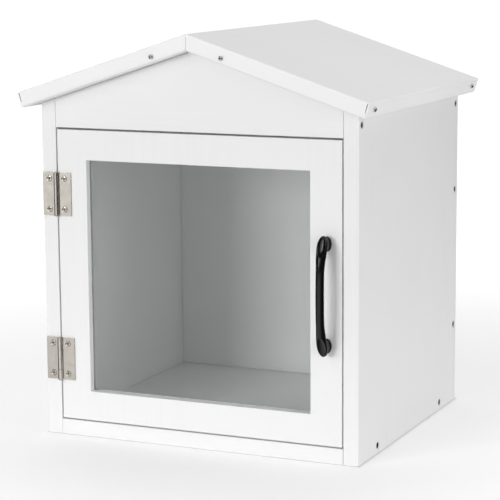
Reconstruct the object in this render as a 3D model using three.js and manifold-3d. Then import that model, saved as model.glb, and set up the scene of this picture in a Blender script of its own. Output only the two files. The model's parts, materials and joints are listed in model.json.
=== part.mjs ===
// Street book exchange box: a small white house-shaped cabinet with one glazed
// door, made of screwed boards under a folded sheet roof cover.
// Lengths are millimetres and angles are degrees.
// The door faces -Y, +X is to the right, +Z is up, and the origin is the middle
// of the underside.

import * as THREE from "three";
import { mergeVertices, toCreasedNormals } from "three/addons/utils/BufferGeometryUtils.js";
import Module from "manifold-3d";

const wasm = await Module();
wasm.setup();

// Driving dimensions of the box
const boxWidth = 350;
const boxDepth = 305;
const boardThickness = 16;
const openingHeight = 308.5;
const gableEndHeight = 30;
const edgeRound = 0.5;
const seam = 0.3;

// Roof
const roofPitch = 18;
const roofOverhang = 18;
const roofBoardThickness = 15;
const coverThickness = 0.8;
const coverSeat = 0.3;
const flangeDepth = 15;
const foldRadius = 1.2;
const cornerSlit = 0.75;
const cornerSlitFoot = 0.4;
const cornerSlitInset = 2.1;
const cornerSlitHeightShare = 0.7;
const ridgeSlit = 0.35;

// Door
const doorSideGap = 1.5;
const doorTopGap = 2;
const doorBottomGap = 1.5;
const stileWidth = 33.5;
const railWidth = 31;
const paneThickness = 3;
const paneEdgeGap = 0.5;
const rebateDepthShare = 0.54;
const rebateWidth = 8;
const beadGap = 0.3;
const beadRoundShare = 0.4;

// Hinges
const leafHeight = 45;
const leafWidth = 16.3;
const leafThickness = 1.2;
const leafCorner = 0.8;
const leafSeat = 0.3;
const pinDiameter = 2.2;
const pinGap = 0.2;
const pinHeadHeight = 0.9;
const pinHeadWidthShare = 0.8;
const knuckleCount = 4;
const knuckleGap = 0.3;
const leafScrewHeightShare = 0.355;
const hingeHeightShares = [0.78, 0.21];

// Bow handle
const handleHoleCentres = 101.6;
const handleProjection = 22.5;
const handleFromDoorEdge = 15.5;
const handleSeat = 0.3;
const handleOverhang = 8.8;
const tipReach = 7.5;
const bowSquareness = 3.2;
const barWidth = 8.6;
const barThickness = 7;
const barTaper = 26;
const lobeWidth = 11.2;
const lobeLength = 23.5;
const lobeTipRound = 4;
const scoopFromTip = 11;
const scoopDepth = 2.6;
const scoopRadii = { across: 7.3, deep: 6, along: 15.2 };
const footHeight = 15;
const footWidth = 10;
const footBase = 2.2;
const footEdge = 0.4;
const footStep = 0.8;

// Magnetic catch
const catchHeight = 46;
const catchWidth = 16;
const catchDepth = 14;
const catchSeat = 0.3;
const magnetHeight = 22;
const magnetWidth = 8;
const magnetDepthShare = 0.7;
const poleStandOut = 0.5;
const strikeHeight = 36;
const strikeWidth = 12;
const strikeThickness = 1.2;
const catchAirGap = 0.3;
const catchScrewShare = 0.4;

// Screws: head width, shank width and how deep the point goes below the face that
// the screw stands in. A screw with a dome has a raised head of that height.
const screwGap = 0.3;
const boardScrew = { head: 7.4, shank: 4, reach: 34 };
const coverScrew = { head: 5, shank: 2.6, reach: 14, dome: 1.8 };
const hingeScrew = { head: 6, shank: 3, reach: 11.5 };
const catchScrew = { head: 5.6, shank: 2.8, reach: 24 };
const strikeScrew = { head: 5, shank: 2.6, reach: 11 };
const handleGrip = 10;
const handleScrew = { head: 7.6, shank: 3.8, reach: boardThickness + handleSeat + handleGrip };
const headRimShare = 0.06;
const pointShare = 0.8;
const recessWidthShare = 0.6;
const recessArmShare = 0.16;
const recessDepthShare = 0.24;
const recessTaperShare = 0.45;

// Where the screws stand
const backScrewShares = [0.21, 0.66, 0.94];
const gableScrewShare = 0.42;
const bottomScrewShares = [0.18, 0.82];
const coverScrewFromRidge = 38;
const coverScrewFromEnd = 18.5;
const frontScrewDropShare = 0.68;
const eaveScrewDropShare = 0.5;

// How finely round shapes are cut, and how far a cutter runs past what it cuts
const headSides = 12;
const barrelSides = 10;
const barSides = 16;
const bowSteps = 34;
const footSides = 16;
const scoopSides = 24;
const roundSteps = 2;
const domeSteps = 2;
const overrun = 1;

// Sizes that follow from the driving ones
const halfWidth = boxWidth / 2;
const frontY = -boxDepth / 2;
const backY = boxDepth / 2;
const innerX = halfWidth - boardThickness;
const openingBottom = boardThickness;
const openingTop = openingBottom + openingHeight;

const pitch = THREE.MathUtils.degToRad(roofPitch);
const rise = Math.tan(pitch);
const boardDrop = coverThickness + coverSeat + roofBoardThickness;
const undersidePeak = openingTop + gableEndHeight + innerX * rise;
const ridgeTop = undersidePeak + boardDrop / Math.cos(pitch);
const slopeLength = (halfWidth + roofOverhang) / Math.cos(pitch);
const roofFrontY = frontY - roofOverhang;
const roofBackY = backY + roofOverhang;

const doorLeft = -innerX + doorSideGap;
const doorRight = innerX - doorSideGap;
const doorBottom = openingBottom + doorBottomGap;
const doorTop = openingTop - doorTopGap;
const doorHeight = doorTop - doorBottom;
const doorMiddleZ = (doorTop + doorBottom) / 2;
const doorBackY = frontY + boardThickness;
const windowHalfWidth = doorRight - stileWidth;
const windowBottom = doorBottom + railWidth;
const windowTop = doorTop - railWidth;
const rebateDepth = boardThickness * rebateDepthShare;
const rebateFrontY = doorBackY - rebateDepth;

const boreRadius = pinDiameter / 2 + pinGap;
const barrelRadius = boreRadius + leafThickness;
const hingeX = -innerX + doorSideGap / 2;
const hingeY = frontY - leafSeat - barrelRadius;
const leafScrewX = (boardThickness + doorSideGap) / 2;
const tipHeight = handleHoleCentres / 2 + handleOverhang;
const bowReach = handleProjection - barThickness / 2;

// Small helpers for closed shapes

function solidOf(geometry) {
  const bare = geometry.clone();
  bare.deleteAttribute("normal");
  bare.deleteAttribute("uv");
  const merged = mergeVertices(bare);
  return new wasm.Manifold(new wasm.Mesh({
    numProp: 3,
    vertProperties: Float32Array.from(merged.attributes.position.array),
    triVerts: Uint32Array.from(merged.index.array),
  }));
}

function geometryOf(solid) {
  const mesh = solid.getMesh();
  const geometry = new THREE.BufferGeometry();
  geometry.setAttribute("position", new THREE.BufferAttribute(mesh.vertProperties, 3));
  geometry.setIndex(new THREE.BufferAttribute(mesh.triVerts, 1));
  return toCreasedNormals(geometry, Math.PI / 6);
}

// A closed skin over rings that all have the same number of points. The first
// and the last ring are closed by a fan round their middle.
function loft(rings) {
  const count = rings[0].length;
  const points = rings.flat();
  const faces = [];
  for (let ring = 0; ring + 1 < rings.length; ring += 1) {
    for (let side = 0; side < count; side += 1) {
      const next = (side + 1) % count;
      const a = ring * count + side;
      const b = ring * count + next;
      faces.push(a, b, b + count, a, b + count, a + count);
    }
  }
  for (const [ring, first, turn] of [[rings[0], 0, -1], [rings.at(-1), points.length - count, 1]]) {
    const middle = new THREE.Vector3();
    ring.forEach((point) => middle.addScaledVector(point, 1 / count));
    const hub = points.push(middle) - 1;
    for (let side = 0; side < count; side += 1) {
      const next = (side + 1) % count;
      const pair = turn > 0 ? [side, next] : [next, side];
      faces.push(hub, first + pair[0], first + pair[1]);
    }
  }
  const geometry = new THREE.BufferGeometry().setFromPoints(points);
  geometry.setIndex(faces);
  return geometry;
}

function block(lowX, highX, lowY, highY, lowZ, highZ) {
  const geometry = new THREE.BoxGeometry(highX - lowX, highY - lowY, highZ - lowZ);
  return geometry.translate((lowX + highX) / 2, (lowY + highY) / 2, (lowZ + highZ) / 2);
}

// A board cut to an outline, with its arrises taken off. It is drawn flat with
// its lower face at height zero and then turned by the caller.
function board(outline, thickness, arris) {
  return new THREE.ExtrudeGeometry(outline, {
    depth: thickness - 2 * arris,
    bevelEnabled: arris > 0,
    bevelThickness: arris,
    bevelSize: arris,
    bevelOffset: -arris,
    bevelSegments: roundSteps,
  }).translate(0, 0, arris);
}

function outlineOf(points) {
  return new THREE.Shape(points.map(([x, y]) => new THREE.Vector2(x, y)));
}

// Stand a flat drawing up so that its second direction is +Z and it is thick
// from y to y + thickness.
function standing(geometry, thickness, y) {
  return geometry.rotateX(Math.PI / 2).translate(0, y + thickness, 0);
}

// The frame that puts a piece drawn along +Z at a place, pointing in a direction.
function aimed(place, direction) {
  const turn = new THREE.Quaternion().setFromUnitVectors(new THREE.Vector3(0, 0, 1), direction);
  return new THREE.Matrix4().compose(place, turn, new THREE.Vector3(1, 1, 1));
}

// Cross-recessed screws, countersunk or with a raised head

function coneDepth(screw) {
  return (screw.head - screw.shank) / 2 + screw.head * headRimShare;
}

// The head's side of the profile, from the shank to the middle of its face
function headProfile(screw) {
  const head = screw.head / 2;
  const shank = screw.shank / 2;
  if (!screw.dome) {
    return [[shank, -coneDepth(screw)], [head, -screw.head * headRimShare], [head, 0], [0, 0]];
  }
  const profile = [[shank, screwGap]];
  for (let step = 0; step <= domeSteps; step += 1) {
    const angle = (step / domeSteps) * Math.PI / 2;
    profile.push([head * Math.cos(angle), screwGap + screw.dome * Math.sin(angle)]);
  }
  return profile;
}

function turned(profile, sides) {
  const points = profile.map(([radius, height]) => new THREE.Vector2(radius, height));
  return new THREE.LatheGeometry(points, sides).rotateX(Math.PI / 2);
}

function crossRing(width, arm, height) {
  const reach = width / 2;
  const half = arm / 2;
  const corners = [[reach, -half], [reach, half], [half, half], [half, reach], [-half, reach],
    [-half, half], [-reach, half], [-reach, -half], [-half, -half], [-half, -reach],
    [half, -reach], [half, -half]];
  return corners.map(([x, y]) => new THREE.Vector3(x, y, height));
}

function screwGeometry(screw) {
  const tip = [[0, -screw.reach], [screw.shank / 2, -screw.reach * pointShare]];
  const profile = tip.concat(headProfile(screw));
  const body = turned(profile, headSides);
  const top = profile.at(-1)[1];
  const width = screw.head * recessWidthShare;
  const arm = screw.head * recessArmShare;
  const bottom = top - screw.head * recessDepthShare;
  const cross = loft([
    crossRing(width * recessTaperShare, arm * recessTaperShare, bottom),
    crossRing(width, arm, top),
    crossRing(width, arm, top + overrun),
  ]);
  return geometryOf(solidOf(body).subtract(solidOf(cross)));
}

// The hole that a screw needs: its own shape grown by the screw gap. A raised head
// stands clear, so its hole is straight.
function screwHole(screw) {
  const shank = screw.shank / 2 + screwGap;
  const edge = screw.dome ? shank : screw.head / 2 + screwGap;
  return solidOf(turned([
    [0, -screw.reach - screwGap],
    [shank, -screw.reach * pointShare - screwGap],
    [shank, -coneDepth(screw) - screwGap],
    [edge, -screw.head * headRimShare - screwGap],
    [edge, overrun],
    [0, overrun],
  ], headSides));
}

const fasteners = [];

function fasten(name, screw, place, direction, door) {
  const frame = aimed(new THREE.Vector3(...place), new THREE.Vector3(...direction));
  fasteners.push({ name, screw, frame, door });
}

function drilled(solid, wanted) {
  return fasteners
    .filter(({ name }) => wanted.some((word) => name.includes(word)))
    .map(({ screw, frame }) => screwHole(screw).transform(frame.elements))
    .reduce((rest, hole) => rest.subtract(hole), solid);
}

// Height of the roof boards' underside over a place left or right of the ridge
function underside(x) {
  return undersidePeak - Math.abs(x) * rise;
}

// A place on the right-hand slope, measured along the slope from the ridge and
// square to it, with zero on the outside of the cover.
function onSlope(along, above) {
  const x = along * Math.cos(pitch) + above * Math.sin(pitch);
  const z = ridgeTop - along * Math.sin(pitch) + above * Math.cos(pitch);
  return [x, z];
}

const sides = [["left", -1], ["right", 1]];

// Screws through each side panel into the gable, the back and the bottom
const backWallTop = openingTop + gableEndHeight;
for (const [hand, way] of sides) {
  const face = way * halfWidth;
  const boardMiddle = boardThickness / 2;
  const gableZ = openingTop + gableEndHeight * gableScrewShare;
  fasten(`${hand}_gable_screw`, boardScrew, [face, frontY + boardMiddle, gableZ], [way, 0, 0]);
  backScrewShares.forEach((share, index) => {
    const height = openingBottom + (backWallTop - openingBottom) * share;
    const name = `${hand}_back_screw_${index + 1}`;
    fasten(name, boardScrew, [face, backY - boardMiddle, height], [way, 0, 0]);
  });
  bottomScrewShares.forEach((share, index) => {
    const y = frontY + boxDepth * share;
    fasten(`${hand}_bottom_screw_${index + 1}`, boardScrew, [face, y, boardMiddle], [way, 0, 0]);
  });
}

// Screws through the cover's flanges into the roof boards
for (const [hand, way] of sides) {
  const frontDrop = flangeDepth * frontScrewDropShare;
  const alongSlope = (coverScrewFromRidge + frontDrop * Math.sin(pitch)) / Math.cos(pitch);
  const [flangeX, flangeZ] = onSlope(alongSlope, -frontDrop);
  fasten(`${hand}_front_cover_screw`, coverScrew, [way * flangeX, roofFrontY, flangeZ], [0, -1, 0]);
  fasten(`${hand}_rear_cover_screw`, coverScrew, [way * flangeX, roofBackY, flangeZ], [0, 1, 0]);
  const [eaveX, eaveZ] = onSlope(slopeLength, -flangeDepth * eaveScrewDropShare);
  const outward = [way * Math.cos(pitch), 0, -Math.sin(pitch)];
  const ends = [roofFrontY + coverScrewFromEnd, roofBackY - coverScrewFromEnd];
  ends.forEach((y, index) => {
    fasten(`${hand}_eave_screw_${index + 1}`, coverScrew, [way * eaveX, y, eaveZ], outward);
  });
}

// Screws of the hinges, the handle and the catch
const hingeNames = ["upper", "lower"];
hingeNames.forEach((level, index) => {
  const middleZ = doorBottom + doorHeight * hingeHeightShares[index];
  const faceY = hingeY + barrelRadius - leafThickness;
  for (const [leaf, way, door] of [["frame_leaf", -1, false], ["door_leaf", 1, true]]) {
    for (const [place, up] of [["top", 1], ["low", -1]]) {
      const z = middleZ + up * leafHeight * leafScrewHeightShare;
      const name = `${level}_${leaf}_${place}_screw`;
      fasten(name, hingeScrew, [hingeX + way * leafScrewX, faceY, z], [0, -1, 0], door);
    }
  }
});

const handleX = doorRight - handleFromDoorEdge;
for (const [place, up] of [["top", 1], ["low", -1]]) {
  const z = doorMiddleZ + up * handleHoleCentres / 2;
  fasten(`handle_${place}_screw`, handleScrew, [handleX, doorBackY, z], [0, 1, 0], true);
}

const catchOuterX = innerX - catchSeat;
const catchInnerX = catchOuterX - catchWidth;
const catchX = (catchOuterX + catchInnerX) / 2;
const strikeFrontY = doorBackY + catchSeat;
const strikeBackY = strikeFrontY + strikeThickness;
const poleY = strikeBackY + catchAirGap;
const catchFrontY = poleY + poleStandOut;
const catchBackY = catchFrontY + catchDepth;
for (const [place, up] of [["top", 1], ["low", -1]]) {
  const y = (catchFrontY + catchBackY) / 2;
  const z = doorMiddleZ + up * catchHeight * catchScrewShare;
  fasten(`catch_${place}_screw`, catchScrew, [catchInnerX, y, z], [-1, 0, 0]);
}
fasten("strike_screw", strikeScrew, [catchX, strikeBackY, doorMiddleZ], [0, 1, 0], true);

// Boards of the cabinet

function sidePanel(hand, way) {
  const inner = way * innerX;
  const outer = way * halfWidth;
  const roofGap = seam / Math.cos(pitch);
  const outline = outlineOf([
    [Math.min(inner, outer), 0],
    [Math.max(inner, outer), 0],
    [Math.max(inner, outer), underside(Math.max(inner, outer)) - roofGap],
    [Math.min(inner, outer), underside(Math.min(inner, outer)) - roofGap],
  ]);
  const panel = solidOf(standing(board(outline, boxDepth, edgeRound), boxDepth, frontY));
  const words = [`${hand}_gable`, `${hand}_back`, `${hand}_bottom`];
  const extra = way < 0 ? ["frame_leaf"] : ["catch_"];
  return geometryOf(drilled(panel, words.concat(extra)));
}

function bottomPanel() {
  const edge = innerX - seam;
  const outline = outlineOf([[-edge, frontY], [edge, frontY], [edge, backY], [-edge, backY]]);
  return geometryOf(drilled(solidOf(board(outline, boardThickness, edgeRound)), ["bottom"]));
}

// The gable and the back are the same house-shaped board, cut to other heights.
function houseBoard(bottom, y, words) {
  const edge = innerX - seam;
  const roofGap = seam / Math.cos(pitch);
  const outline = outlineOf([
    [-edge, bottom],
    [edge, bottom],
    [edge, underside(edge) - roofGap],
    [0, undersidePeak - roofGap],
    [-edge, underside(edge) - roofGap],
  ]);
  const upright = standing(board(outline, boardThickness, edgeRound), boardThickness, y);
  return geometryOf(drilled(solidOf(upright), words));
}

// Roof boards and the folded cover over them

function roofBoard(way) {
  const topLine = -coverThickness - coverSeat;
  const lowLine = topLine - roofBoardThickness;
  const end = slopeLength - coverThickness - coverSeat;
  const plumb = seam / 2;
  const ridgeAt = (above) => (plumb - above * Math.sin(pitch)) / Math.cos(pitch);
  const corners = [
    onSlope(ridgeAt(lowLine), lowLine),
    onSlope(end, lowLine),
    onSlope(end, topLine),
    onSlope(ridgeAt(topLine), topLine),
  ];
  const outline = outlineOf(corners.map(([x, z]) => [way * x, z]));
  const start = roofFrontY + coverThickness + coverSeat;
  const length = -2 * start;
  const hand = way < 0 ? "left" : "right";
  const plank = solidOf(standing(board(outline, length, edgeRound), length, start));
  return geometryOf(drilled(plank, [`${hand}_front_cover`, `${hand}_rear_cover`, `${hand}_eave`]));
}

// One slope of the cover is a rounded tray turned upside down. Its outside and
// its inside are the same drawing, one sheet thickness apart.
function slopeTray(inset, radius, depth) {
  const start = roofFrontY + inset;
  const end = slopeLength - inset;
  const run = roofOverhang;
  const outline = outlineOf([[-run, start], [end, start], [end, -start], [-run, -start]]);
  const tray = board(outline, depth + radius, radius);
  return laidOnSlope(tray.translate(0, 0, -depth - radius - inset));
}

// Turns a shape drawn flat, with its first direction down the slope, on to the
// right-hand slope of the roof.
function laidOnSlope(geometry) {
  return solidOf(geometry.rotateY(pitch).translate(0, 0, ridgeTop));
}

// The tapered slit beside a corner, where the flange meets the tab folded round it
function cornerSlitAt(y) {
  const middle = slopeLength - cornerSlitInset;
  const low = -flangeDepth * cornerSlitHeightShare;
  const outline = outlineOf([
    [middle - cornerSlitFoot / 2, low],
    [middle + cornerSlitFoot / 2, low],
    [middle + cornerSlit / 2, -foldRadius],
    [middle - cornerSlit / 2, -foldRadius],
  ]);
  const through = 2 * coverThickness + coverSeat;
  return laidOnSlope(standing(board(outline, through, 0), through, y - through / 2));
}

function roofCover() {
  const deep = flangeDepth + roofOverhang;
  const reach = boxWidth;
  const outside = slopeTray(0, foldRadius, deep);
  const inside = slopeTray(coverThickness, foldRadius - coverThickness, deep);
  const keep = laidOnSlope(block(-reach, reach, -boxDepth, boxDepth, -flangeDepth, overrun));
  const rightOfRidge = solidOf(block(0, reach, -boxDepth, boxDepth, 0, ridgeTop + overrun));
  let half = outside.subtract(inside).intersect(keep).intersect(rightOfRidge);
  half = half.subtract(cornerSlitAt(roofFrontY)).subtract(cornerSlitAt(roofBackY));
  const ridgeDrop = (coverThickness + foldRadius) / Math.cos(pitch);
  const ridgeCut = solidOf(block(-ridgeSlit / 2, ridgeSlit / 2,
    roofFrontY - overrun, roofBackY + overrun, ridgeTop - deep, ridgeTop - ridgeDrop));
  const whole = half.add(half.rotate([0, 0, 180])).subtract(ridgeCut);
  return geometryOf(drilled(whole, ["cover_screw", "eave_screw"]));
}

// Door: one board frame with a rebate behind the window, a clear pane and four
// mitred beads

function doorFrame() {
  const outline = outlineOf([
    [doorLeft, doorBottom],
    [doorRight, doorBottom],
    [doorRight, doorTop],
    [doorLeft, doorTop],
  ]);
  outline.holes.push(new THREE.Path([
    new THREE.Vector2(-windowHalfWidth, windowBottom),
    new THREE.Vector2(-windowHalfWidth, windowTop),
    new THREE.Vector2(windowHalfWidth, windowTop),
    new THREE.Vector2(windowHalfWidth, windowBottom),
  ]));
  const frame = solidOf(standing(board(outline, boardThickness, edgeRound), boardThickness, frontY));
  const side = windowHalfWidth + rebateWidth;
  const rebate = solidOf(block(-side, side, rebateFrontY, doorBackY + overrun,
    windowBottom - rebateWidth, windowTop + rebateWidth));
  return geometryOf(drilled(frame.subtract(rebate), ["door_leaf", "handle_", "strike_"]));
}

function windowPane() {
  const side = windowHalfWidth + rebateWidth - paneEdgeGap;
  const low = windowBottom - rebateWidth + paneEdgeGap;
  const high = windowTop + rebateWidth - paneEdgeGap;
  const front = rebateFrontY + beadGap;
  return block(-side, side, front, front + paneThickness, low, high);
}

// A bead runs along +X with its outer edge at y = 0 and its back at z = 0. Its
// section is carried to two ends cut at 45 degrees.
function bead(length) {
  const width = rebateWidth - beadGap;
  const depth = rebateDepth - 2 * beadGap - paneThickness;
  const round = depth * beadRoundShare;
  const section = [];
  for (let step = 0; step <= roundSteps + 1; step += 1) {
    const angle = (step / (roundSteps + 1)) * Math.PI / 2;
    section.push([width - round + round * Math.sin(angle), round - round * Math.cos(angle)]);
  }
  section.push([width, depth], [0, depth], [0, 0]);
  const ring = (end) => section.map(([inward, deep]) => {
    return new THREE.Vector3(end * (length / 2 - inward), inward, deep);
  });
  return loft([ring(-1), ring(1)]);
}

function glazingBead(place) {
  const side = windowHalfWidth + rebateWidth - beadGap;
  const low = windowBottom - rebateWidth + beadGap;
  const high = windowTop + rebateWidth - beadGap;
  const middle = (low + high) / 2;
  const lies = {
    bottom: [2 * side, 0, 0, low],
    top: [2 * side, Math.PI, 0, high],
    left: [high - low, -Math.PI / 2, -side, middle],
    right: [high - low, Math.PI / 2, side, middle],
  };
  const [length, turn, x, z] = lies[place];
  const strip = bead(length - 2 * beadGap).rotateZ(turn).rotateX(Math.PI / 2);
  return { strip, place: new THREE.Vector3(x, doorBackY, z) };
}

// Butt hinge leaf: a flat plate with half of the knuckles rolled round the pin.
// The origin is on the pin's axis, half way up, and the plate lies to the left.
function hingeLeaf() {
  const plateEnd = -barrelRadius - knuckleGap;
  const plate = new THREE.Shape();
  const low = -leafHeight / 2;
  const high = leafHeight / 2;
  plate.moveTo(plateEnd, low);
  plate.lineTo(plateEnd, high);
  plate.lineTo(-leafWidth + leafCorner, high);
  plate.absarc(-leafWidth + leafCorner, high - leafCorner, leafCorner, Math.PI / 2, Math.PI);
  plate.lineTo(-leafWidth, low + leafCorner);
  plate.absarc(-leafWidth + leafCorner, low + leafCorner, leafCorner, Math.PI, Math.PI * 1.5);
  const plateCut = { depth: leafThickness, bevelEnabled: false, curveSegments: roundSteps };
  const flat = new THREE.ExtrudeGeometry(plate, plateCut);
  let leaf = solidOf(standing(flat, leafThickness, barrelRadius - leafThickness));

  const knuckle = new THREE.Shape();
  knuckle.moveTo(plateEnd - overrun, barrelRadius);
  knuckle.lineTo(plateEnd - overrun, barrelRadius - leafThickness);
  const wrap = Math.asin(1 - leafThickness / barrelRadius);
  knuckle.absarc(0, 0, barrelRadius, Math.PI - wrap, Math.PI * 2.5);
  const bore = new THREE.Path();
  bore.absarc(0, 0, boreRadius, 0, Math.PI * 2, true);
  knuckle.holes.push(bore);
  const pitchZ = leafHeight / knuckleCount;
  const knuckleCut = { depth: pitchZ - knuckleGap, bevelEnabled: false, curveSegments: barrelSides };
  for (let index = 0; index < knuckleCount; index += 2) {
    const ring = new THREE.ExtrudeGeometry(knuckle, knuckleCut);
    leaf = leaf.add(solidOf(ring.translate(0, 0, low + index * pitchZ + knuckleGap / 2)));
  }
  const faceY = barrelRadius - leafThickness;
  for (const up of [1, -1]) {
    const place = new THREE.Vector3(-leafScrewX, faceY, up * leafHeight * leafScrewHeightShare);
    const frame = aimed(place, new THREE.Vector3(0, -1, 0));
    leaf = leaf.subtract(screwHole(hingeScrew).transform(frame.elements));
  }
  return geometryOf(leaf);
}

function hingePin() {
  const radius = pinDiameter / 2;
  const head = barrelRadius * pinHeadWidthShare;
  const shoulder = leafHeight / 2 + knuckleGap / 2;
  const profile = [[0, -shoulder - pinHeadHeight]];
  for (let step = 1; step <= roundSteps; step += 1) {
    const angle = (step / roundSteps) * Math.PI / 2;
    profile.push([head * Math.sin(angle), -shoulder - pinHeadHeight * Math.cos(angle)]);
  }
  profile.push([radius, -shoulder]);
  const mirrored = profile.map(([r, z]) => [r, -z]).reverse();
  return turned(profile.concat(mirrored), headSides);
}

// Bow handle: an oval bar carried along a flat arch from tip to tip, on two oval
// feet. The arch lies in the y and z plane, with the door at y = 0 and the bow at
// -y. Each end widens into an oval lobe with a scoop in its outer face.

// How far the bar's middle line stands off the door, by its height
function bowDepth(z) {
  return bowReach - (bowReach - tipReach) * (Math.abs(z) / tipHeight) ** bowSquareness;
}

// The outward direction of the bar at a height, square to its middle line
function bowOutward(z) {
  const steepness = bowSquareness * (Math.abs(z) / tipHeight) ** (bowSquareness - 1);
  const slope = Math.sign(z) * steepness * (bowReach - tipReach) / tipHeight;
  return new THREE.Vector3(0, -1, slope).normalize();
}

// Half of a width that closes as an oval end over a length from the tip
function roundedEnd(width, length, fromTip) {
  const share = Math.min(1, fromTip / length);
  return width / 2 * Math.sqrt(1 - (1 - share) ** 2);
}

function bowRing(z, fromTip) {
  const lobe = roundedEnd(lobeWidth, lobeLength / 2, fromTip);
  const waist = THREE.MathUtils.smoothstep(fromTip, lobeLength / 2, lobeLength / 2 + barTaper);
  const wide = lobe - waist * (lobeWidth - barWidth) / 2;
  const thick = roundedEnd(barThickness, lobeTipRound, fromTip);
  const middle = new THREE.Vector3(0, -bowDepth(z), z);
  const outward = bowOutward(z);
  return Array.from({ length: barSides }, (_, side) => {
    const turn = (side / barSides) * Math.PI * 2;
    const point = new THREE.Vector3(-wide * Math.sin(turn), 0, 0);
    return point.addScaledVector(outward, thick * Math.cos(turn)).add(middle);
  });
}

function bowBar() {
  const steps = Array.from({ length: bowSteps + 1 }, (_, step) => Math.PI * (step / bowSteps));
  const heights = steps.map((angle) => tipHeight * Math.cos(angle));
  const runs = [0];
  heights.slice(1).forEach((z, index) => {
    const before = heights[index];
    runs.push(runs[index] + Math.hypot(z - before, bowDepth(z) - bowDepth(before)));
  });
  const whole = runs.at(-1);
  const rings = heights.map((z, index) => bowRing(z, Math.min(runs[index], whole - runs[index])));
  return solidOf(loft(rings.slice(1, -1)));
}

// An oval foot: a thin base with its edge taken off, and a post that runs into the
// middle of the bar
function bowFoot(z) {
  const ring = (inset, depthAt) => Array.from({ length: footSides }, (_, side) => {
    const turn = (side / footSides) * Math.PI * 2;
    const height = z + (footHeight / 2 - inset) * Math.sin(turn);
    return new THREE.Vector3((footWidth / 2 - inset) * Math.cos(turn), -depthAt(height), height);
  });
  return solidOf(loft([
    ring(0, () => 0),
    ring(0, () => footBase - footEdge),
    ring(footEdge, () => footBase),
    ring(footStep, () => footBase),
    ring(footStep, bowDepth),
  ]));
}

// The scoop is cut by an egg-shaped body whose lowest point is scoopDepth deep.
function lobeScoop(z) {
  const outward = bowOutward(z);
  const { across, deep, along } = scoopRadii;
  const egg = new THREE.SphereGeometry(1, scoopSides, scoopSides).scale(across, deep, along);
  const away = barThickness / 2 - scoopDepth + deep;
  const middle = new THREE.Vector3(0, -bowDepth(z), z).addScaledVector(outward, away);
  const turn = new THREE.Quaternion().setFromUnitVectors(new THREE.Vector3(0, -1, 0), outward);
  return solidOf(egg.applyQuaternion(turn).translate(middle.x, middle.y, middle.z));
}

function pullHandle() {
  let handle = bowBar();
  for (const up of [1, -1]) {
    const holeZ = up * handleHoleCentres / 2;
    const place = new THREE.Vector3(0, boardThickness + handleSeat, holeZ);
    const frame = aimed(place, new THREE.Vector3(0, 1, 0));
    handle = handle.add(bowFoot(holeZ)).subtract(lobeScoop(up * (tipHeight - scoopFromTip)));
    handle = handle.subtract(screwHole(handleScrew).transform(frame.elements));
  }
  return geometryOf(handle);
}

// Magnetic catch on the right side panel and its strike plate on the door

function catchHousing() {
  const half = catchHeight / 2;
  const body = block(catchInnerX, catchOuterX, catchFrontY, catchBackY,
    doorMiddleZ - half, doorMiddleZ + half);
  const pocketX = magnetWidth / 2 + catchSeat;
  const pocketZ = magnetHeight / 2 + catchSeat;
  const pocketFront = catchFrontY - overrun;
  const pocketBack = catchFrontY + catchDepth * magnetDepthShare;
  const pocket = block(catchX - pocketX, catchX + pocketX, pocketFront, pocketBack,
    doorMiddleZ - pocketZ, doorMiddleZ + pocketZ);
  return geometryOf(drilled(solidOf(body).subtract(solidOf(pocket)), ["catch_"]));
}

function catchMagnet() {
  const back = catchFrontY + catchDepth * magnetDepthShare - catchSeat;
  return block(catchX - magnetWidth / 2, catchX + magnetWidth / 2, poleY, back,
    doorMiddleZ - magnetHeight / 2, doorMiddleZ + magnetHeight / 2);
}

function strikePlate() {
  const x = strikeWidth / 2;
  const z = strikeHeight / 2;
  const outline = outlineOf([
    [catchX - x, doorMiddleZ - z],
    [catchX + x, doorMiddleZ - z],
    [catchX + x, doorMiddleZ + z],
    [catchX - x, doorMiddleZ + z],
  ]);
  const plate = standing(board(outline, strikeThickness, edgeRound / 2), strikeThickness, strikeFrontY);
  return geometryOf(drilled(solidOf(plate), ["strike_"]));
}

// Finishes
const finishes = {
  whitePaint: { color: 0xf1f1f0, roughness: 0.45, metalness: 0 },
  roofSheet: { color: 0xf4f4f4, roughness: 0.35, metalness: 0 },
  clearPane: { color: 0xf5f8f8, roughness: 0.05, metalness: 0, transparent: true, opacity: 0.25 },
  satinNickel: { color: 0xc9c0b5, roughness: 0.35, metalness: 1 },
  blackGloss: { color: 0x19191b, roughness: 0.15, metalness: 0 },
  screwSteel: { color: 0xb3b1ad, roughness: 0.4, metalness: 1 },
  whitePlastic: { color: 0xececea, roughness: 0.5, metalness: 0 },
  magnetSteel: { color: 0x77787b, roughness: 0.45, metalness: 1 },
};

function piece(name, geometry, finish) {
  const mesh = new THREE.Mesh(geometry, new THREE.MeshStandardMaterial(finishes[finish]));
  mesh.name = name;
  return mesh;
}

// Assembly
const bookBox = new THREE.Group();
const door = new THREE.Group();
door.position.set(hingeX, hingeY, 0);
bookBox.add(door);

for (const [hand, way] of sides) {
  bookBox.add(piece(`${hand}_side_panel`, sidePanel(hand, way), "whitePaint"));
  bookBox.add(piece(`${hand}_roof_board`, roofBoard(way), "whitePaint"));
}
bookBox.add(piece("bottom_panel", bottomPanel(), "whitePaint"));
const backWall = houseBoard(openingBottom + seam, backY - boardThickness, ["_back_screw"]);
bookBox.add(piece("back_panel", backWall, "whitePaint"));
bookBox.add(piece("front_gable_panel", houseBoard(openingTop, frontY, ["_gable_screw"]), "whitePaint"));
bookBox.add(piece("roof_cover", roofCover(), "roofSheet"));

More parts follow.
